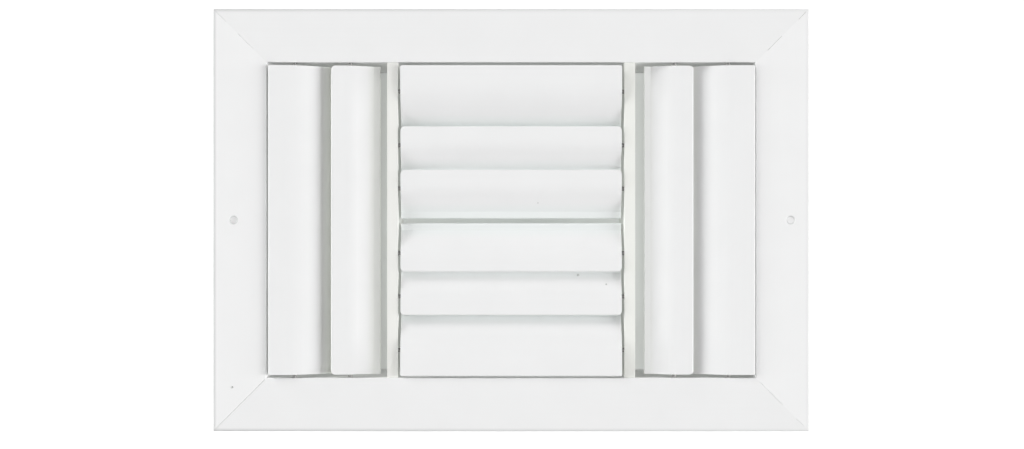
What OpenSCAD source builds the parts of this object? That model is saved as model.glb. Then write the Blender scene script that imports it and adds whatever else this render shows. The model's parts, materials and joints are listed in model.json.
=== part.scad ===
// Ceiling air register with curved blades, for a 12 x 8 in duct opening.
// Lengths are millimetres. The face looks along +Z, into the room, and the neck runs
// along -Z, into the duct. The origin is the centre of the opening, on the ceiling plane.
// X runs along the long side. The upright blades turn about Y, the level ones about X.

/* [Frame] */
// Length of the flange, along X
flange_l = 349.25; // [335:0.25:420]
// Width of the flange, along Y
flange_w = 247.65; // [240:0.25:320]
// Width of the flange's border round the air opening
border_w = 31.5; // [30:0.1:36]
// Height of the face above the ceiling
face_h = 4.8; // [4.6:0.1:7]
// Depth of the neck below the ceiling plane
neck_depth = 40; // [32:0.5:60]
// Thickness of the neck wall
neck_t = 1.4; // [1:0.1:2]
// Thickness of the flange plate and its lip
flange_t = 1.5; // [1.2:0.1:1.8]
// Radius of the flange's rounded outer edge
rim_r = 1.3; // [0.5:0.1:2]
// Radius of the rounded edge at the air opening
opening_r = 0.5; // [0.2:0.1:1]
// Width of the open joint line cut along a mitre
mitre_line_w = 0.35; // [0.2:0.05:0.6]
// Depth of that joint line below the face
mitre_line_d = 0.4; // [0.2:0.05:0.8]

/* [Corner keys] */
// Thickness of a corner key
key_t = 1.8; // [1.2:0.1:2]
// Width of each leg of a corner key
key_w = 11.5; // [8:0.1:12]
// Length of each leg, from the key's outer corner
key_leg = 38; // [25:0.5:60]
// Distance from the air opening to the inner rib of the key channel
key_inset = 2.3; // [2:0.1:3]
// Thickness of the ribs on both sides of the key channel
rib_t = 1.2; // [0.8:0.1:1.4]
// Reach of the hook that keeps the key in its channel
hook_w = 1; // [0.6:0.1:1.5]
// Side clearance of a key in its channel
key_gap = 0.15; // [0.05:0.05:0.3]

/* [Ceiling screw holes] */
// Distance of the left screw hole from the outer edge of the flange
left_hole_inset = 12.2; // [9:0.1:12.8]
// Distance of the right screw hole from the outer edge of the flange
right_hole_inset = 11; // [9:0.1:12.8]
// Radius of a screw hole
hole_r = 1.9; // [1.5:0.05:2.2]
// Radius of its countersink at the face
sink_r = 2.9; // [2.4:0.05:3.4]
// Depth of its countersink
sink_d = 0.7; // [0.3:0.05:0.9]

/* [Pit in the left rail] */
// Distance of the pit from the rail's outer edge
pit_inset = 11.3; // [8:0.1:13]
// Distance of the pit from the lower edge of the flange
pit_up = 26; // [20:0.5:40]
// Radius of the pit
pit_r = 0.8; // [0.4:0.05:1]
// Depth of the pit
pit_d = 0.5; // [0.2:0.05:0.8]

/* [Dividers] */
// Width of a divider
divider_w = 6.3; // [6:0.1:8]
// Depth of a divider, front to back
divider_d = 36; // [34:0.5:38]
// Thickness of a divider's walls
divider_t = 1.2; // [1:0.1:1.4]
// Distance of a divider's front below the face
divider_drop = 1; // [0.5:0.1:2]
// Radius of a screw port inside a divider
port_r = 2.4; // [2.2:0.05:2.5]
// Depth of the front screw port below the divider's front
front_port_d = 14; // [12:0.5:18]
// Depth of the rear screw port below the divider's front
rear_port_d = 30; // [24:0.5:31]

/* [Divider screws] */
// Radius of a divider screw's shank
screw_r = 1.2; // [1:0.05:1.3]
// Length of the shank, from under its head
screw_l = 9; // [6:0.5:14]
// Radius of the screw's pan head
head_r = 2.6; // [2.2:0.1:2.9]
// Height of the pan head
head_h = 1.7; // [1.2:0.1:2]
// Clearance of a screw in its hole and its port
screw_gap = 0.05; // [0.02:0.01:0.1]

/* [Blades] */
// Thickness of a blade
blade_t = 1.4; // [1.1:0.1:1.6]
// Radius of the bead along a blade's near edge
bead_r = 1.1; // [0.9:0.05:1.2]
// Width of the turned lip along the deep edge
lip_w = 4.2; // [2.5:0.1:4.5]
// Radius of the rounded corners at a wide blade's near edge
wide_corner_r = 1.2; // [0.5:0.1:2]
// Radius of the rounded corners at a narrow blade's near edge
narrow_corner_r = 2.6; // [0.5:0.1:3.5]
// Gap between the end of a level blade and the divider beside it
level_end_gap = 1.6; // [1.2:0.1:2.2]
// Gap between the end of an upright blade and the neck wall beside it
side_end_gap = 1.9; // [1.2:0.1:2.4]
// Flat width of a wide blade, from its near edge to its curve
wide_flat = 8.5; // [5:0.1:12]
// Width of a wide blade's curve, seen from the front
wide_curve_w = 16; // [8:0.1:18]
// Angle that a wide blade's curve turns through, and its slope stands at
wide_turn = 24; // [14:0.5:26]
// Flat width of a narrow blade
narrow_flat = 7.5; // [5:0.1:10]
// Width of a narrow blade's curve, seen from the front
narrow_curve_w = 7.4; // [6:0.1:12]
// Angle that a narrow blade's curve turns through, and its slope stands at
narrow_turn = 22; // [14:0.5:26]
// Height of a wide blade's near edge above the face
wide_rise = 2; // [1:0.1:2.5]
// Distance that a wide blade's deep edge reaches past the near edge of the next blade
wide_lap = 5.2; // [4:0.1:5.5]
// The same for a narrow blade
narrow_lap = 3.1; // [2:0.1:3.3]

/* [Pivots] */
// Depth of the pivot line below the face
pivot_d = 3.5; // [3.3:0.1:4.5]
// Distance of a wide blade's pivot from its near edge
wide_pivot = 15; // [13:0.5:17]
// Distance of a narrow blade's pivot from its near edge
narrow_pivot = 11; // [9.5:0.5:12]
// Radius of the boss that holds the pins, on a blade's back
boss_r = 2.3; // [2:0.1:2.5]
// Thickness of the web between a blade and its boss
web_t = 1.6; // [1:0.1:2.4]
// Radius of a pivot pin
pin_r = 1.2; // [0.9:0.05:1.3]
// Length of a pin inside its blade
pin_hold = 8; // [5:0.5:20]
// Clearance of a pin, in the radius
pin_gap = 0.05; // [0.02:0.01:0.1]

/* [Blade places] */
// Distance from the opening's left edge to the outer left blade
left_gap = 1; // [0.8:0.1:4]
// Distance from the opening's right edge to the outer right blade
right_gap = 0.6; // [0.5:0.1:4]
// Distance from the opening's upper edge to the first level blade
top_gap = 1.75; // [1.2:0.05:4]
// Distance from the opening's lower edge to the last level blade
bottom_gap = 1; // [1:0.1:4]
// Width of the slit between the third and the fourth level blade
slit_w = 2.7; // [2.4:0.1:5]
// Width of the slit between the inner left blade and its divider
left_slit_w = 4.3; // [4:0.1:7]
// Step from a wide blade to the next one, as a multiple of a narrow blade's step
wide_ratio = 1.395; // [1.34:0.005:1.42]
// What the left pair's step has over the level blades' wide step
left_spread = 1.05; // [0:0.05:1.5]
// What the right pair's step has over the level blades' wide step
right_spread = 0.25; // [-0.3:0.05:1]

/* [Upright blades as they stand] */
// Angle that the outer left blade stands open, its deep edge turned into the duct
left_outer_open = 3.5; // [-3:0.5:8]
// The same for the inner left blade
left_inner_open = 1; // [-3:0.5:8]
// The same for the inner right blade, where less than 0 is further closed
right_inner_open = -3; // [-3:0.5:8]
// The same for the outer right blade
right_outer_open = -1.5; // [-3:0.5:8]

/* [Hidden] */
$fn = 48;
// Overrun of a cut past the faces it opens
cut = 1;
// A blade's slope starts inside its curve, a hair under the curve's faces
slope_back = 0.4;
slope_step = 0.01;

opening_l = flange_l - 2 * border_w;
opening_w = flange_w - 2 * border_w;
plate_bottom = face_h - flange_t;

// Key channel, measured outwards from the air opening
channel_w = key_w + 2 * key_gap;
channel_in = key_inset + rib_t;
channel_out = channel_in + channel_w;
hook_top = plate_bottom - key_t - key_gap;
// Height at which the channel's ribs end, just off the ceiling
rib_bottom = 0.3;

// Each half of the level bank is one wide step, one narrow step and the third blade
half_bank = (opening_w - top_gap - bottom_gap - slit_w) / 2;
narrow_step = (half_bank - narrow_lap) / (wide_ratio + 2);
wide_step = wide_ratio * narrow_step;

// A blade's reach from near edge to deep edge, and the outer radius of its curve
wide_reach = wide_step + wide_lap;
narrow_reach = narrow_step + narrow_lap;
wide_r = wide_curve_w / sin(wide_turn);
narrow_r = narrow_curve_w / sin(narrow_turn);

// The side banks are as wide as the left pair needs, the middle bank takes the rest
side_bank = left_gap + wide_step + left_spread + narrow_reach + left_slit_w;
middle_w = opening_l - 2 * (side_bank + divider_w);

// Dividers and their screws
divider_x = middle_w / 2 + divider_w / 2;
divider_front = face_h - divider_drop;
port_depths = [front_port_d, rear_port_d];

// Blade ends and places
side_blade_l = opening_w - 2 * side_end_gap;
level_blade_l = middle_w - 2 * level_end_gap;
left_x = -opening_l / 2 + left_gap;
right_x = opening_l / 2 - right_gap;
left_step = wide_step + left_spread;
right_step = wide_step + right_spread;
top_y = opening_w / 2 - top_gap;
bottom_y = -opening_w / 2 + bottom_gap;

// Each blade: the place of its near edge with its flat level, the way its deep edge points,
// whether it is wide, and the angle that it stands open
RIGHTWARDS = [1, 0];
LEFTWARDS = [-1, 0];
DOWNWARDS = [0, -1];
UPWARDS = [0, 1];
upright_at = [
    [left_x, 0, RIGHTWARDS, true, left_outer_open],
    [left_x + left_step, 0, RIGHTWARDS, false, left_inner_open],
    [right_x - right_step, 0, LEFTWARDS, false, right_inner_open],
    [right_x, 0, LEFTWARDS, true, right_outer_open]
];
level_at = [
    [0, top_y, DOWNWARDS, true, 0],
    [0, top_y - wide_step, DOWNWARDS, false, 0],
    [0, top_y - wide_step - narrow_step, DOWNWARDS, false, 0],
    [0, bottom_y + wide_step + narrow_step, UPWARDS, false, 0],
    [0, bottom_y + wide_step, UPWARDS, false, 0],
    [0, bottom_y, UPWARDS, true, 0]
];

function near_edge(at) = [at[0], at[1], face_h + (at[3] ? wide_rise : 0)];
function is_level(at) = at[2][0] == 0;
function heading(at) = atan2(at[2][1], at[2][0]);
function blade_length(at) = is_level(at) ? level_blade_l : side_blade_l;
// The pivot line lies in from the near edge, and below it, where the blade's boss is
function pivot_in(wide) = wide ? wide_pivot : narrow_pivot;
function pivot_below(wide) = pivot_d + (wide ? wide_rise : 0);
function pivot_at(at) = near_edge(at)
    + [pivot_in(at[3]) * at[2][0], pivot_in(at[3]) * at[2][1], -pivot_below(at[3])];

// The colours of the finished pieces
PAINT = [0.93, 0.93, 0.93];
WARM_PAINT = [0.92, 0.93, 0.90];
BARE_METAL = [0.75, 0.76, 0.77];

// What a square corner at the origin loses when it is rounded; the piece fills x > 0, y > 0
module round_corner(r) {
    difference() {
        translate([-cut, -cut]) square(r + cut);
        translate([r, r]) circle(r);
    }
}

// Section of a frame rail: x runs outwards from the air opening, y is the height
module rail_profile() {
    rib_h = plate_bottom + flange_t / 2 - rib_bottom;
    hook_h = hook_top - rib_bottom;
    difference() {
        union() {
            translate([0, -neck_depth]) square([neck_t, neck_depth + face_h]);
            translate([0, plate_bottom]) square([border_w, flange_t]);
            translate([border_w - flange_t, 0]) square([flange_t, face_h]);
            translate([key_inset, rib_bottom]) square([rib_t, rib_h]);
            translate([key_inset, rib_bottom]) square([rib_t + hook_w, hook_h]);
            translate([channel_out, rib_bottom]) square([rib_t, rib_h]);
            translate([channel_out - hook_w, rib_bottom]) square([rib_t + hook_w, hook_h]);
        }
        translate([border_w, face_h]) rotate(180) round_corner(rim_r);
        translate([0, face_h]) rotate(-90) round_corner(opening_r);
    }
}

// A straight rail along X, its air side at y = 0 and the border towards +Y, both ends mitred
module mitred_rail(length) {
    inner = length - 2 * border_w;
    intersection() {
        rotate([90, 0, 90]) linear_extrude(length, center = true) rail_profile();
        translate([0, 0, -neck_depth - cut])
            linear_extrude(neck_depth + face_h + 2 * cut)
                polygon([
                    [-inner / 2, 0], [inner / 2, 0],
                    [length / 2, border_w], [-length / 2, border_w]
                ]);
    }
}

// An open joint line along the mitre of one corner, between two shares of the border's width
module mitre_line(corner, from, to) {
    turn = atan2(corner[1], corner[0]);
    half = mitre_line_w / 2;
    diagonal = border_w * sqrt(2);
    translate([corner[0] * opening_l / 2, corner[1] * opening_w / 2, face_h])
        rotate(turn) translate([from * diagonal, 0, 0]) rotate([90, 0, 90])
            linear_extrude((to - from) * diagonal)
                polygon([[-half, cut], [-half, 0], [0, -mitre_line_d], [half, 0], [half, cut]]);
}

// Only the lower left mitre shows its joint line all the way, the others show theirs in places
module mitre_lines() {
    mitre_line([-1, -1], 0.03, 1.1);
    for (open = [[0.07, 0.5], [0.76, 0.9]]) mitre_line([1, -1], open[0], open[1]);
    for (open = [[0.25, 0.53], [0.75, 1.1]]) mitre_line([-1, 1], open[0], open[1]);
    for (open = [[0.22, 0.48], [0.8, 0.93]]) mitre_line([1, 1], open[0], open[1]);
}

// The long rails carry the upright blades and the ends of the dividers
module long_rail(side) {
    color(PAINT)
        difference() {
            translate([0, side * opening_w / 2, 0])
                rotate(side > 0 ? 0 : 180) mitred_rail(flange_l);
            for (at = upright_at)
                translate(pivot_at(at)) neck_holes(pin_r + pin_gap);
            for (x = [-divider_x, divider_x], depth = port_depths)
                translate([x, 0, divider_front - depth]) neck_holes(screw_r + screw_gap);
            mitre_lines();
        }
}

// A line along Y that drills both neck walls and stops short of the key channels
module neck_holes(r) {
    rotate([90, 0, 0]) cylinder(r = r, h = opening_w + neck_t + key_inset, center = true);
}

module short_rail(side) {
    hole_inset = side < 0 ? left_hole_inset : right_hole_inset;
    color(PAINT)
        difference() {
            translate([side * opening_l / 2, 0, 0]) rotate(-side * 90) mitred_rail(flange_w);
            translate([side * (flange_l / 2 - hole_inset), 0, 0]) screw_hole();
            mitre_lines();
            if (side < 0) pit();
        }
}

module screw_hole() {
    cylinder(r = hole_r, h = 2 * face_h + cut);
    translate([0, 0, face_h - sink_d]) cylinder(r1 = hole_r, r2 = sink_r, h = sink_d);
    translate([0, 0, face_h]) cylinder(r = sink_r, h = cut);
}

module pit() {
    translate([-flange_l / 2 + pit_inset, -flange_w / 2 + pit_up, face_h - pit_d])
        cylinder(r = pit_r, h = pit_d + cut);
}

// An L-shaped plate whose outer corner points out of the given corner of the frame
module corner_key(side_x, side_y) {
    reach = channel_out - key_gap;
    color(BARE_METAL)
        translate([side_x * (opening_l / 2 + reach), side_y * (opening_w / 2 + reach),
                   plate_bottom - key_t])
            linear_extrude(key_t) {
                translate([side_x > 0 ? -key_leg : 0, side_y > 0 ? -key_w : 0])
                    square([key_leg, key_w]);
                translate([side_x > 0 ? -key_w : 0, side_y > 0 ? -key_leg : 0])
                    square([key_w, key_leg]);
            }
}

// Section of a divider: a channel open to the duct, with screw ports between its walls
module divider_profile() {
    difference() {
        union() {
            difference() {
                translate([-divider_w / 2, -divider_d]) square([divider_w, divider_d]);
                translate([-divider_w / 2 + divider_t, -divider_d - cut])
                    square([divider_w - 2 * divider_t, divider_d + cut - divider_t]);
            }
            for (depth = port_depths) translate([0, -depth]) circle(port_r);
        }
        for (depth = port_depths) translate([0, -depth]) circle(screw_r + screw_gap);
    }
}

// The wall beside the middle bank has a pivot hole for each level blade
module divider(side) {
    color(WARM_PAINT)
        difference() {
            translate([side * divider_x, 0, divider_front])
                rotate([90, 0, 0]) linear_extrude(opening_w, center = true) divider_profile();
            for (at = level_at)
                translate(pivot_at(at)) translate([side * middle_w / 2, 0, 0])
                    rotate([0, 90, 0])
                        cylinder(r = pin_r + pin_gap, h = 2 * divider_t + cut, center = true);
        }
}

// A pan head with a cross recess, its shank along -Z from the head's underside
module screw() {
    edge = head_r / 4;
    recess_l = head_r * 1.2;
    difference() {
        union() {
            cylinder(r = head_r, h = head_h - edge);
            translate([0, 0, head_h - edge]) cylinder(r1 = head_r, r2 = head_r - edge, h = edge);
            translate([0, 0, -screw_l]) cylinder(r = screw_r, h = screw_l + head_h / 2);
        }
        for (turn = [0, 90])
            rotate(turn) translate([-recess_l / 2, -edge / 2, head_h / 2])
                cube([recess_l, edge, head_h]);
    }
}

// The four screws of one divider, their heads on the outside of the neck
module screws(side) {
    color(BARE_METAL)
        for (end = [-1, 1], depth = port_depths)
            translate([side * divider_x, end * (opening_w / 2 + neck_t), divider_front - depth])
                rotate([-end * 90, 0, 0]) screw();
}

// Part of a ring from the top of its circle clockwise through an angle
module ring_sector(r, turn) {
    reach = 2 * r;
    intersection() {
        difference() {
            circle(r, $fn = 96);
            circle(r - blade_t, $fn = 96);
        }
        polygon([[0, 0], [0, reach], [reach * tan(turn / 2), reach],
                 [reach * sin(turn), reach * cos(turn)]]);
    }
}

// Section of a blade: the near edge is at x = 0, the deep edge towards +x, the front faces +y.
// From the near edge it has a bead, a flat, a curve, a straight slope and a lip.
module blade_profile(wide) {
    flat = wide ? wide_flat : narrow_flat;
    r = wide ? wide_r : narrow_r;
    turn = wide ? wide_turn : narrow_turn;
    reach = wide ? wide_reach : narrow_reach;
    // The slope runs along the middle of the blade's thickness, from the curve's end to the lip
    mid_r = r - blade_t / 2;
    slope_x = flat + mid_r * sin(turn);
    slope_y = -r + mid_r * cos(turn);
    lip_x = reach - lip_w;
    lip_y = slope_y - (lip_x - slope_x) * tan(turn);
    slope_l = (lip_x - slope_x) / cos(turn);
    lip_l = lip_w - blade_t / 2;
    // The web runs from the boss to the middle of the blade's thickness
    pivot_x = pivot_in(wide);
    pivot_y = -pivot_below(wide);
    web_top = sqrt(pow(mid_r, 2) - pow(max(pivot_x - flat, 0), 2)) - r;
    difference() {
        union() {
            translate([bead_r, -bead_r]) circle(bead_r);
            translate([bead_r, -blade_t]) square([flat - bead_r, blade_t]);
            translate([flat, -r]) ring_sector(r, turn);
            translate([slope_x, slope_y]) rotate(-turn)
                translate([-slope_back, slope_step - blade_t / 2])
                    square([slope_back + slope_l, blade_t - 2 * slope_step]);
            translate([lip_x, lip_y]) circle(blade_t / 2);
            translate([lip_x, lip_y - blade_t / 2]) square([lip_l, blade_t]);
            translate([lip_x + lip_l, lip_y]) circle(blade_t / 2);
            translate([pivot_x, pivot_y]) circle(boss_r);
            translate([pivot_x - web_t / 2, pivot_y]) square([web_t, web_top - pivot_y]);
        }
        translate([pivot_x, pivot_y]) circle(pin_r + pin_gap);
    }
}

// A blade with its section along its length, rounded at the corners of its near edge, and
// turned about its pivot line by the angle that it stands open
module blade(at) {
    length = blade_length(at);
    color(PAINT)
        translate(pivot_at(at)) rotate(heading(at)) rotate([0, at[4], 0])
            translate([-pivot_in(at[3]), 0, pivot_below(at[3])])
                difference() {
                    rotate([90, 0, 0]) linear_extrude(length, center = true) blade_profile(at[3]);
                    for (end = [-1, 1])
                        translate([0, end * length / 2, -2 * bead_r - cut])
                            rotate(end < 0 ? 0 : -90)
                                linear_extrude(2 * bead_r + 2 * cut)
                                    round_corner(at[3] ? wide_corner_r : narrow_corner_r);
                }
}

// The two pins of one blade, each flush with the far side of the wall that carries it
module pins(at) {
    length = blade_length(at);
    reach = pin_hold + (is_level(at) ? level_end_gap + divider_t : side_end_gap + neck_t);
    color(BARE_METAL)
        translate(pivot_at(at)) rotate(heading(at))
            for (end = [-1, 1])
                translate([0, end * (length / 2 - pin_hold), 0])
                    rotate([-end * 90, 0, 0]) cylinder(r = pin_r, h = reach);
}

long_rail(1);  // rail_top
long_rail(-1);  // rail_bottom
short_rail(-1);  // rail_left
short_rail(1);  // rail_right
corner_key(-1, 1);  // corner_key_top_left
corner_key(1, 1);  // corner_key_top_right
corner_key(-1, -1);  // corner_key_bottom_left
corner_key(1, -1);  // corner_key_bottom_right
divider(-1);  // divider_left
divider(1);  // divider_right
screws(-1);  // screws_left
screws(1);  // screws_right
blade(upright_at[0]);  // blade_left_outer
blade(upright_at[1]);  // blade_left_inner
blade(upright_at[2]);  // blade_right_inner
blade(upright_at[3]);  // blade_right_outer
blade(level_at[0]);  // blade_level_1
blade(level_at[1]);  // blade_level_2
blade(level_at[2]);  // blade_level_3
blade(level_at[3]);  // blade_level_4
blade(level_at[4]);  // blade_level_5
blade(level_at[5]);  // blade_level_6
pins(upright_at[0]);  // pins_left_outer
pins(upright_at[1]);  // pins_left_inner
pins(upright_at[2]);  // pins_right_inner
pins(upright_at[3]);  // pins_right_outer
pins(level_at[0]);  // pins_level_1
pins(level_at[1]);  // pins_level_2
pins(level_at[2]);  // pins_level_3
pins(level_at[3]);  // pins_level_4
pins(level_at[4]);  // pins_level_5
pins(level_at[5]);  // pins_level_6
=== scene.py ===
import json
import math
import random

import bpy
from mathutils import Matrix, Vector


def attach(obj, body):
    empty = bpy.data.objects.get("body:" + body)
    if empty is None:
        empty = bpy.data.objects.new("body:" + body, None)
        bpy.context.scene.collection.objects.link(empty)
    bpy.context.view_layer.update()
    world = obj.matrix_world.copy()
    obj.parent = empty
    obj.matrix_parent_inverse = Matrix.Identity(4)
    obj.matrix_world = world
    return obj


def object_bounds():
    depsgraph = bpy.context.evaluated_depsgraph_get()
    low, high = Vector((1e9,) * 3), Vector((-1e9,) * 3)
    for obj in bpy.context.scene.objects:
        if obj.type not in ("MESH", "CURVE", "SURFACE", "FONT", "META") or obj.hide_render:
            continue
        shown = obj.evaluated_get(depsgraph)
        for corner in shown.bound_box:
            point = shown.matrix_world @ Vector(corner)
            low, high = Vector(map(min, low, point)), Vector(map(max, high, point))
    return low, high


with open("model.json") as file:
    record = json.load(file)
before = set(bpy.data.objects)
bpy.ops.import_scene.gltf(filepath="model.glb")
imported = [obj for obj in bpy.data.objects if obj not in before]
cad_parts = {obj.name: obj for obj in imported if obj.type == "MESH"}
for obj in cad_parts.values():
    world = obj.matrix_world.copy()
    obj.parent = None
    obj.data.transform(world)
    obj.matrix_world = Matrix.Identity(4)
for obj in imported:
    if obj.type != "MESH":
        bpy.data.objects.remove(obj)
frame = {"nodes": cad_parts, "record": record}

MM = 0.001
CAD_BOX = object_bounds()
NODES = frame["nodes"]
SCENE = bpy.context.scene
FLOOR_Z = CAD_BOX[0].z
FACE_Z = max(v.co.z for v in NODES["rail_top"].data.vertices)

# The picture: its size, its scale at the face, and where the camera's axis meets it
PICTURE = (1024, 449)
PX_PER_MM = 1.709
AXIS_PX = (511.15, 240.0)

# The camera: how far it hangs above the face, its place along Y from the middle of the opening,
# the width of its sensor in millimetres, and the nearest and farthest that it sees
CAMERA_DISTANCE = 745 * MM
CAMERA_Y = -11.64 * MM
EYE = Vector((0, CAMERA_Y, FACE_Z + CAMERA_DISTANCE))
SENSOR = 36.0
CLIP = (0.01, 20.0)

# Low lamps are a hair cooler than high ones, as the room's walls are
SIDE_LIGHT = (0.995, 1.002, 1.0)
TOP_LIGHT = (1.003, 0.997, 1.0)

# Soft discs far away: heading from the centre, height over the floor, width and level, where
# the width is the angle that it fills and a level of 1 renders a white surface facing it white
LAMPS = [
    # degrees, degrees, degrees, level, colour
    (0, 8, 13, 0.218, SIDE_LIGHT),
    (0, 20, 13, 0.251, SIDE_LIGHT),
    (0, 32, 13, 0.285, TOP_LIGHT),
    (0, 70, 13, 0.094, TOP_LIGHT),
    (0, 90, 22, 0.047, TOP_LIGHT),
    (90, 70, 13, 0.091, TOP_LIGHT),
    (135, 22, 26, 0.464, SIDE_LIGHT),
    (180, 8, 13, 0.355, SIDE_LIGHT),
    (180, 20, 13, 0.262, SIDE_LIGHT),
    (270, 8, 13, 0.054, SIDE_LIGHT),
    (270, 56, 13, 0.118, TOP_LIGHT),
    (315, 22, 26, 0.197, SIDE_LIGHT),
]

# What the camera sees past the floor
BACKDROP_WHITE = (1, 1, 1)

# Floor, and the darker card that lies on it inside the neck as painted shade seen through the
# gaps: colour under the lamps, and what the camera sees beyond that
FLOOR_HALF = 3.0
FLOOR_COLOUR = (0.90, 0.90, 0.90)
FLOOR_GLOW = (0.45, 0.45, 0.45)
CARD_SHADE_COLOUR = (0.83, 0.86, 0.84)
CARD_SHADE_GLOW = (0.194, 0.195, 0.192)
CARD_LIFT = 0.3 * MM

# The floor's glow fades under the flange, which paints its shadow there: the share that is left
# there, and how far beyond the flange the glow is whole
GLOW_SHARE_IN_PAINTED_SHADOW = 0.20
GLOW_RISE = 5 * MM

# The card's glow rises towards the right, a painted pool of light in the right-hand gaps: where it
# starts and ends along X, and its shares
CARD_LIGHT_RISE = (20 * MM, 75 * MM)
CARD_LIGHT_SHARES = (0.90, 1.36)

# The rim of the neck: how near the floor it is looked for, and how far inside its outer side
# the card and the duct lamp end
RIM_BAND = 0.1 * MM
RIM_INSET = 2 * MM

# Light that comes up into the neck from behind, and its lamp's height over the floor
DUCT_LEVEL = 0.27
DUCT_COLOUR = (0.985, 1.006, 0.985)
DUCT_LIFT = 1 * MM

# Paints, as linear colours
LONG_RAIL_WHITE = (0.875, 0.876, 0.876)
SHORT_RAIL_WHITE = (0.900, 0.901, 0.901)
BLADE_WHITE = (0.878, 0.880, 0.880)
LEFT_DIVIDER_WHITE = (0.870, 0.871, 0.838)
RIGHT_DIVIDER_WHITE = (0.882, 0.890, 0.850)
GRIT_GREY = (0.58, 0.59, 0.58)
PIT_GREY = (0.58, 0.58, 0.57)

# The paint's shine, its roughness, and how far that swings over patches of this size
PAINT_SPECULAR = 0.12
PAINT_ROUGHNESS = 0.78
ROUGHNESS_SWING = 0.05
ROUGHNESS_PATCH = 9 * MM

# Mottling of the paint: the size of its patches and its darkest and lightest tone
MOTTLE_SIZE = 24 * MM
MOTTLE_TONES = (0.991, 1.009)

# Orange peel: the size of its dimples and their height
PEEL_SIZE = 1.1 * MM
PEEL_HEIGHT = 0.012 * MM

# Die lines: their width, how far they are drawn out for an extrusion along X or Y, their
# tone, the most of it that shows, and their height
LINE_WIDTH = 0.8 * MM
LINE_STRETCH = {"x": (260, 1, 1), "y": (1, 260, 1)}
LINE_TONE = 0.985
LINE_SHARE = 0.35
LINE_HEIGHT = 0.006 * MM

# Painted shade round the flange's outer edge: where it lies, how much darker it gets there, and
# how much of that shows at the left end and at the right end
EDGE_SHADE_START, EDGE_SHADE_END = -2.3 * MM, -1.0 * MM
EDGE_SHADE_TONE = 0.79
EDGE_SHADE_LEFT, EDGE_SHADE_RIGHT = 1.0, 0.3

# Painted shade on the rails' hidden side, outside the neck and under the flange
BACK_SHADE_TONE = 0.84
WALL_START, WALL_END = -31.0 * MM, -30.6 * MM
BACK_TOP, BACK_FULL = 3.25 * MM, 3.0 * MM

# A darker ring of painted shade in the countersinks of the ceiling screws: their places along X,
# the ring's radius, the share of that radius where it is full, and its tone
SCREWS = next(m for m in frame["record"]["mounts"] if m["name"] == "ceiling_screws")
SINKS = [SCREWS["pos_m"][0] + side * SCREWS["dims"]["spacing_x_mm"] / 2 * MM for side in (-1, 1)]
SINK_RADIUS = 2.7 * MM
SINK_FULL = 0.92
SINK_SHADE_TONE = 0.80

# Painted shade on the blades' deep parts: its tint, the height where it starts and where it is
# full
UPRIGHT_DEEP_SHADE = ((0.970, 0.995, 0.920), 1.0 * MM, -3.0 * MM)
LEVEL_DEEP_SHADE = ((0.945, 0.985, 0.975), 1.6 * MM, -1.2 * MM)

# Bare metals: colour, roughness, and how far the scratches are drawn out along each axis
KEY_ALUMINIUM = ((0.78, 0.79, 0.80), 0.36, (30, 1, 1))
# The pins' steel is darkened to the shade of the gaps they sit in, partly painted shade
PIN_STEEL_AND_SHADE = ((0.34, 0.34, 0.33), 0.55, (1, 1, 1))
SCREW_ZINC = ((0.74, 0.74, 0.72), 0.28, (1, 1, 1))

# Patches on bare metal: their size and their darkest and lightest tone
PATCH_SIZE = 6 * MM
PATCH_TONES = (0.9, 1.05)

# Scratches in bare metal: their width and height, and how far they move its roughness
SCRATCH_WIDTH = 0.12 * MM
SCRATCH_HEIGHT = 0.004 * MM
SCRATCH_SWING = (-0.08, 0.12)

# Noise lies mostly between these values
NOISE_MIDDLE = (0.3, 0.7)

# The body that each node with a speck moves with
BODY_OF = {"blade_level_3": "level_3", "blade_level_5": "level_5", "rail_left": "frame"}

# Grit in the paint, where the last speck paints shade in the left countersink, and a grey lump in
# the pit: node, place in the picture, width, height, seed
GRIT = [
    ("blade_level_5", (578.0, 275.0), 1.9 * MM, 0.30 * MM, 3),
    ("blade_level_5", (606.3, 284.3), 1.3 * MM, 0.30 * MM, 8),
    ("blade_level_3", (538.0, 203.0), 0.8 * MM, 0.12 * MM, 5),
    # This speck sits in the left countersink and paints shade there
    ("rail_left", (230.7, 220.6), 1.3 * MM, 0.15 * MM, 2),
]
# A grey lump that makes the pit darker
PIT_LUMP = ("rail_left", (232.5, 387.0), 1.5 * MM, 0.10 * MM, 11)

# A speck's mesh: points round it, rings from its top to its edge, the least and most that
# its edge reaches of half its width, and how deep the edge sinks in
SPECK_STEPS = 16
SPECK_RINGS = 5
SPECK_REACH = (0.75, 1.0)
SPECK_SINK = 0.02 * MM


def compute(tree, operation, *values):
    """A sum on values, each of them a number or another node's output."""
    node = tree.nodes.new("ShaderNodeMath")
    node.operation = operation
    for socket, value in zip(node.inputs, values):
        if isinstance(value, (int, float)):
            socket.default_value = value
        else:
            tree.links.new(value, socket)
    return node.outputs["Value"]


def scaled(tree, value, start, end, low, high):
    """A value's climb from start to end, brought to low to high."""
    ranged = tree.nodes.new("ShaderNodeMapRange")
    limits = {"From Min": start, "From Max": end, "To Min": low, "To Max": high}
    for socket, number in limits.items():
        ranged.inputs[socket].default_value = number
    tree.links.new(value, ranged.inputs["Value"])
    return ranged.outputs["Result"]


def seen_by_camera(tree):
    """1 for a ray from the camera, otherwise 0."""
    return tree.nodes.new("ShaderNodeLightPath").outputs["Is Camera Ray"]


def place_on_object(tree):
    """The place on the object in metres."""
    return tree.nodes.new("ShaderNodeTexCoord").outputs["Object"]


def axes(tree):
    """The place on the object, one output for each axis."""
    split = tree.nodes.new("ShaderNodeSeparateXYZ")
    tree.links.new(place_on_object(tree), split.inputs["Vector"])
    return split.outputs


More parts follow.
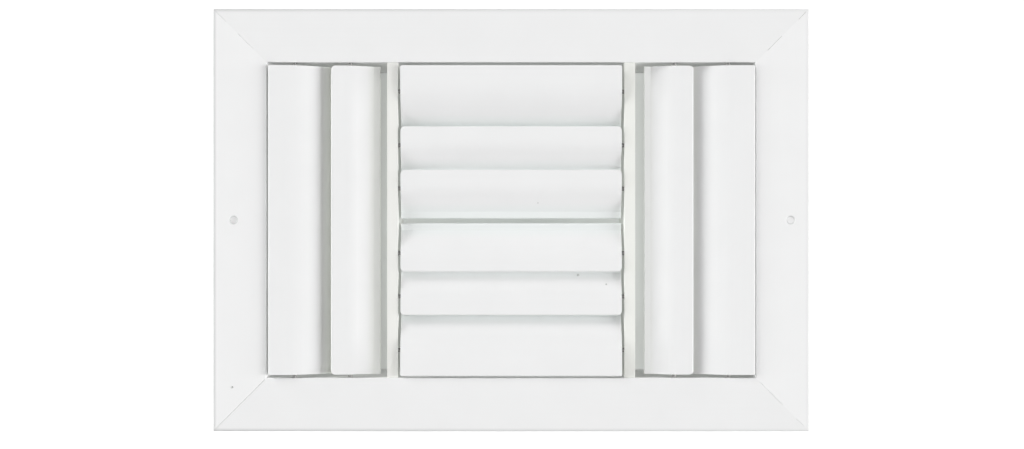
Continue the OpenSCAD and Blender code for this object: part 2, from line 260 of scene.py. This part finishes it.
def past_flange(tree, start, end):
    """0 inside the flange's outline, rising to 1 over this stretch beyond it."""
    at = axes(tree)
    past = [compute(tree, "SUBTRACT", compute(tree, "ABSOLUTE", at[axis]), half)
            for axis, half in (("X", CAD_BOX[1].x), ("Y", CAD_BOX[1].y))]
    return scaled(tree, compute(tree, "MAXIMUM", *past), start, end, 0.0, 1.0)


def make_camera():
    """A camera that looks straight down, its picture shifted to where its axis meets it."""
    data = bpy.data.cameras.new("camera")
    data.sensor_width = SENSOR
    data.lens = PX_PER_MM / MM * CAMERA_DISTANCE * SENSOR / PICTURE[0]
    data.shift_x = (PICTURE[0] / 2 - AXIS_PX[0]) / PICTURE[0]
    data.shift_y = (AXIS_PX[1] - PICTURE[1] / 2) / PICTURE[0]
    data.clip_start, data.clip_end = CLIP
    camera = bpy.data.objects.new("camera", data)
    camera.location = EYE
    SCENE.collection.objects.link(camera)
    SCENE.camera = camera


def make_world():
    """A white backdrop for the camera, which gives the object no light."""
    world = bpy.data.worlds.new("studio")
    SCENE.world = world
    world.use_nodes = True
    tree = world.node_tree
    tree.nodes.clear()
    sky = tree.nodes.new("ShaderNodeBackground")
    sky.inputs["Color"].default_value = (*BACKDROP_WHITE, 1)
    tree.links.new(seen_by_camera(tree), sky.inputs["Strength"])
    out = tree.nodes.new("ShaderNodeOutputWorld")
    tree.links.new(sky.outputs["Background"], out.inputs["Surface"])


def make_lamps():
    """The lamps round the object, each turned towards its middle."""
    for heading, height, width, level, colour in LAMPS:
        data = bpy.data.lights.new(f"lamp_{heading}_{height}", "SUN")
        data.angle = math.radians(width)
        data.color = colour
        data.energy = level * math.pi
        lamp = bpy.data.objects.new(data.name, data)
        turn, rise = math.radians(heading), math.radians(height)
        towards = Vector((math.cos(rise) * math.cos(turn), math.cos(rise) * math.sin(turn),
                          math.sin(rise)))
        lamp.rotation_euler = (-towards).to_track_quat("-Z", "Y").to_euler()
        lamp.location = towards
        SCENE.collection.objects.link(lamp)


def neck_inside():
    """Half the width and half the depth of the space inside the neck, at the floor."""
    rim = [v.co for rail in ("rail_left", "rail_top") for v in NODES[rail].data.vertices
           if v.co.z < FLOOR_Z + RIM_BAND]
    return max(abs(v.x) for v in rim) - RIM_INSET, max(abs(v.y) for v in rim) - RIM_INSET


def make_duct_lamp():
    """A soft box that fills the neck from behind and shows neither to the camera nor in gloss."""
    half_x, half_y = neck_inside()
    data = bpy.data.lights.new("duct_lamp", "AREA")
    data.shape = "RECTANGLE"
    data.size, data.size_y = 2 * half_x, 2 * half_y
    data.color = DUCT_COLOUR
    data.energy = DUCT_LEVEL * math.pi * data.size * data.size_y
    lamp = bpy.data.objects.new("duct_lamp", data)
    lamp.location = (0, 0, FLOOR_Z + DUCT_LIFT)
    lamp.rotation_euler = (math.pi, 0, 0)
    lamp.visible_camera = False
    lamp.visible_glossy = False
    SCENE.collection.objects.link(lamp)


def floor_glow_with_painted_shadow(tree):
    """How much of the floor's glow shows: less under the flange, which paints a shadow there."""
    return scaled(tree, past_flange(tree, 0.0, GLOW_RISE), 0.0, 1.0, GLOW_SHARE_IN_PAINTED_SHADOW, 1.0)


def card_light_share(tree):
    """How much of the card's glow shows: more at the right, as painted light."""
    return scaled(tree, axes(tree)["X"], *CARD_LIGHT_RISE, *CARD_LIGHT_SHARES)


def make_ground(name, half_x, half_y, height, colour, glow_colour, share):
    """A level sheet that is part of the stage, and glows for the camera by the given share."""
    mesh = bpy.data.meshes.new(name)
    corners = [(x * half_x, y * half_y, height) for x, y in ((-1, -1), (1, -1), (1, 1), (-1, 1))]
    mesh.from_pydata(corners, [], [(0, 1, 2, 3)])
    ground = bpy.data.objects.new(name, mesh)
    SCENE.collection.objects.link(ground)
    material = bpy.data.materials.new(name)
    material.use_nodes = True
    tree = material.node_tree
    tree.nodes.clear()
    glow = tree.nodes.new("ShaderNodeEmission")
    glow.inputs["Color"].default_value = (*glow_colour, 1)
    strength = compute(tree, "MULTIPLY", seen_by_camera(tree), share(tree))
    tree.links.new(strength, glow.inputs["Strength"])
    matt = tree.nodes.new("ShaderNodeBsdfDiffuse")
    matt.inputs["Color"].default_value = (*colour, 1)
    both = tree.nodes.new("ShaderNodeAddShader")
    tree.links.new(glow.outputs["Emission"], both.inputs[0])
    tree.links.new(matt.outputs["BSDF"], both.inputs[1])
    out = tree.nodes.new("ShaderNodeOutputMaterial")
    tree.links.new(both.outputs["Shader"], out.inputs["Surface"])
    mesh.materials.append(material)


def blank(name):
    """A new material, its tree, its shader and the place on the object."""
    material = bpy.data.materials.new(name)
    material.use_nodes = True
    tree = material.node_tree
    return material, tree, tree.nodes["Principled BSDF"], place_on_object(tree)


def noise(tree, place, size, stretch=(1, 1, 1), detail=2.0):
    """Noise with lumps of about this size, drawn out along each axis by its stretch."""
    mapping = tree.nodes.new("ShaderNodeMapping")
    mapping.inputs["Scale"].default_value = [1 / (size * s) for s in stretch]
    tree.links.new(place, mapping.inputs["Vector"])
    texture = tree.nodes.new("ShaderNodeTexNoise")
    texture.inputs["Scale"].default_value = 1.0
    texture.inputs["Detail"].default_value = detail
    tree.links.new(mapping.outputs["Vector"], texture.inputs["Vector"])
    return texture.outputs["Fac"]


def spread(tree, value, low, high):
    """Noise, which keeps mostly to its middle, spread over low to high."""
    return scaled(tree, value, *NOISE_MIDDLE, low, high)


def blend_colours(tree, factor, first, second):
    """A mix of two colours, each of them a colour or another node's output."""
    mixer = tree.nodes.new("ShaderNodeMix")
    mixer.data_type = "RGBA"
    tree.links.new(factor, mixer.inputs["Factor"])
    sockets = [s for s in mixer.inputs if s.type == "RGBA"]
    for socket, colour in zip(sockets, (first, second)):
        if isinstance(colour, tuple):
            socket.default_value = (*colour, 1)
        else:
            tree.links.new(colour, socket)
    return [s for s in mixer.outputs if s.type == "RGBA"][0]


def relief(tree, height, distance, normal=None):
    """A surface raised by up to this distance, over another relief if one is given."""
    bump = tree.nodes.new("ShaderNodeBump")
    bump.inputs["Distance"].default_value = distance
    tree.links.new(height, bump.inputs["Height"])
    if normal:
        tree.links.new(normal, bump.inputs["Normal"])
    return bump.outputs["Normal"]


def tone(colour, by):
    """The colour made darker or lighter by a factor."""
    return tuple(c * by for c in colour)


def powder_coat(name, colour, along):
    """Powder coat over an extrusion: soft mottling, orange peel, faint die lines along it."""
    material, tree, shader, place = blank(name)
    mottle = spread(tree, noise(tree, place, MOTTLE_SIZE, detail=3.0), 0.0, 1.0)
    lines = noise(tree, place, LINE_WIDTH, LINE_STRETCH[along], detail=1.0)
    coat = blend_colours(tree, mottle, *(tone(colour, by) for by in MOTTLE_TONES))
    coat = blend_colours(tree, spread(tree, lines, 0.0, LINE_SHARE), coat, tone(colour, LINE_TONE))
    tree.links.new(coat, shader.inputs["Base Color"])
    roughness = spread(tree, noise(tree, place, ROUGHNESS_PATCH),
                       PAINT_ROUGHNESS - ROUGHNESS_SWING, PAINT_ROUGHNESS + ROUGHNESS_SWING)
    tree.links.new(roughness, shader.inputs["Roughness"])
    peel = relief(tree, noise(tree, place, PEEL_SIZE), PEEL_HEIGHT)
    tree.links.new(relief(tree, lines, LINE_HEIGHT, peel), shader.inputs["Normal"])
    shader.inputs["Specular IOR Level"].default_value = PAINT_SPECULAR
    return material


def overlay(material, mask, colour):
    """Lay another colour over a material's paint where the mask is 1."""
    tree = material.node_tree
    paint = tree.nodes["Principled BSDF"].inputs["Base Color"]
    tree.links.new(blend_colours(tree, mask, paint.links[0].from_socket, colour), paint)


def distance_from(tree, at, x):
    """The distance from a place on the X axis, as seen from the front."""
    aside = compute(tree, "SUBTRACT", at["X"], x)
    squares = [compute(tree, "MULTIPLY", leg, leg) for leg in (aside, at["Y"])]
    return compute(tree, "SQRT", compute(tree, "ADD", *squares))


def rail_coat(name, colour, along, sinks=()):
    """Powder coat with painted shade round the flange's edge and on its hidden back, and in the
    countersinks.
    """
    material = powder_coat(name, colour, along)
    tree = material.node_tree
    at = axes(tree)
    # Painted shade round the flange's outer edge, less of it towards the right
    edge_shade_share = scaled(tree, at["X"], -CAD_BOX[1].x, CAD_BOX[1].x, EDGE_SHADE_LEFT, EDGE_SHADE_RIGHT)
    edge = compute(tree, "MULTIPLY", past_flange(tree, EDGE_SHADE_START, EDGE_SHADE_END), edge_shade_share)
    overlay(material, edge, tone(colour, EDGE_SHADE_TONE))
    # Painted shade under the flange, on its back and the neck's outer side
    back_shade = compute(tree, "MULTIPLY", past_flange(tree, WALL_START, WALL_END),
                   scaled(tree, at["Z"], BACK_TOP, BACK_FULL, 0.0, 1.0))
    overlay(material, back_shade, tone(colour, BACK_SHADE_TONE))
    for x in sinks:
        away = distance_from(tree, at, x)
        # Painted shade in the countersink
        ring = scaled(tree, away, SINK_RADIUS, SINK_FULL * SINK_RADIUS, 0.0, 1.0)
        overlay(material, ring, tone(colour, SINK_SHADE_TONE))
    return material


def blade_coat(name, along, deep_shade):
    """Powder coat with a tint of painted shade on the parts that lie deep."""
    material = powder_coat(name, BLADE_WHITE, along)
    tree = material.node_tree
    tint, start, full = deep_shade
    # Painted shade in the deep parts, tinted as the shade there
    shade_mask = scaled(tree, axes(tree)["Z"], start, full, 0.0, 1.0)
    overlay(material, shade_mask, tuple(c * t for c, t in zip(BLADE_WHITE, tint)))
    return material


def bare_metal(name, colour, roughness, stretch):
    """Bare metal with fine scratches drawn out along one way and a few duller patches."""
    material, tree, shader, place = blank(name)
    shader.inputs["Metallic"].default_value = 1.0
    patches = spread(tree, noise(tree, place, PATCH_SIZE, detail=3.0), 0.0, 1.0)
    metal = blend_colours(tree, patches, *(tone(colour, by) for by in PATCH_TONES))
    tree.links.new(metal, shader.inputs["Base Color"])
    scratches = noise(tree, place, SCRATCH_WIDTH, stretch, detail=3.0)
    worn = spread(tree, scratches, *(roughness + swing for swing in SCRATCH_SWING))
    tree.links.new(worn, shader.inputs["Roughness"])
    tree.links.new(relief(tree, scratches, SCRATCH_HEIGHT), shader.inputs["Normal"])
    return material


def set_material(names, material):
    """Give these nodes of the frame one material."""
    for name in names:
        node = NODES[name]
        node.data.materials.clear()
        node.data.materials.append(material)


def dress_nodes():
    """Give every node of the frame its paint or bare metal."""
    level = [f"blade_level_{i}" for i in range(1, 7)]
    upright = ["blade_left_outer", "blade_left_inner", "blade_right_inner", "blade_right_outer"]
    keys = [n for n in NODES if n.startswith("corner_key")]
    pins = [n for n in NODES if n.startswith("pins")]
    screws = [n for n in NODES if n.startswith("screws")]
    set_material(["rail_top", "rail_bottom"], rail_coat("long_rail_white", LONG_RAIL_WHITE, "x"))
    set_material(["rail_left", "rail_right"],
                 rail_coat("short_rail_white", SHORT_RAIL_WHITE, "y", SINKS))
    set_material(level, blade_coat("level_blade_white", "x", LEVEL_DEEP_SHADE))
    set_material(upright, blade_coat("upright_blade_white", "y", UPRIGHT_DEEP_SHADE))
    set_material(["divider_left"], powder_coat("left_divider_white", LEFT_DIVIDER_WHITE, "y"))
    set_material(["divider_right"], powder_coat("right_divider_white", RIGHT_DIVIDER_WHITE, "y"))
    set_material(keys, bare_metal("key_aluminium", *KEY_ALUMINIUM))
    set_material(pins, bare_metal("pin_steel_and_shade", *PIN_STEEL_AND_SHADE))
    set_material(screws, bare_metal("screw_zinc", *SCREW_ZINC))


def lump(width, height, seed):
    """Points and faces of a low dome with an uneven outline, closed underneath."""
    uneven = random.Random(seed)
    reach = [uneven.uniform(*SPECK_REACH) * width / 2 for _ in range(SPECK_STEPS)]
    points = [Vector((0, 0, height))]
    for ring in range(1, SPECK_RINGS + 1):
        fall = ring / SPECK_RINGS * math.pi / 2
        for step, radius in enumerate(reach):
            turn = 2 * math.pi * step / SPECK_STEPS
            points.append(Vector((radius * math.sin(fall) * math.cos(turn),
                                  radius * math.sin(fall) * math.sin(turn),
                                  height * math.cos(fall) - SPECK_SINK)))
    following = [(step + 1) % SPECK_STEPS for step in range(SPECK_STEPS)]
    faces = [(0, 1 + step, 1 + after) for step, after in enumerate(following)]
    for ring in range(SPECK_RINGS - 1):
        inner, outer = 1 + ring * SPECK_STEPS, 1 + (ring + 1) * SPECK_STEPS
        for step, after in enumerate(following):
            faces.append((inner + step, outer + step, outer + after, inner + after))
    edge = 1 + (SPECK_RINGS - 1) * SPECK_STEPS
    faces.append([edge + step for step in reversed(range(SPECK_STEPS))])
    return points, faces


def make_speck(name, node, pixel, width, height, seed, material):
    """A low, uneven lump on the node's surface at this place in the picture."""
    across = (pixel[0] - AXIS_PX[0]) / PX_PER_MM * MM
    up = (AXIS_PX[1] - pixel[1]) / PX_PER_MM * MM
    sight = Vector((across, up, -CAMERA_DISTANCE)).normalized()
    hit, place, normal, _ = NODES[node].ray_cast(EYE, sight)
    if not hit:
        raise ValueError(f"{name}: {node} isn't at {pixel}")
    upright = normal.to_track_quat("Z", "Y")
    points, faces = lump(width, height, seed)
    mesh = bpy.data.meshes.new(name)
    mesh.from_pydata([place + upright @ point for point in points], [], faces)
    mesh.shade_smooth()
    mesh.materials.append(material)
    speck = bpy.data.objects.new(name, mesh)
    SCENE.collection.objects.link(speck)
    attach(speck, BODY_OF[node])


def add_specks():
    """The grit in the paint, one speck of it painted shade in a countersink, and the grey lump in
    the pit.
    """
    grit = powder_coat("grit_grey", GRIT_GREY, "x")
    for number, row in enumerate(GRIT, 1):
        make_speck(f"grit_{number}", *row, grit)
    make_speck("pit_lump", *PIT_LUMP, powder_coat("pit_grey", PIT_GREY, "y"))


make_camera()
make_world()
make_lamps()
make_duct_lamp()
make_ground("floor", FLOOR_HALF, FLOOR_HALF, FLOOR_Z, FLOOR_COLOUR, FLOOR_GLOW, floor_glow_with_painted_shadow)
# The card is a sheet of painted shade for what the gaps show of the inside of the neck
make_ground("card", *neck_inside(), FLOOR_Z + CARD_LIFT, CARD_SHADE_COLOUR, CARD_SHADE_GLOW, card_light_share)
SCENE.view_settings.view_transform = "Standard"
dress_nodes()
add_specks()
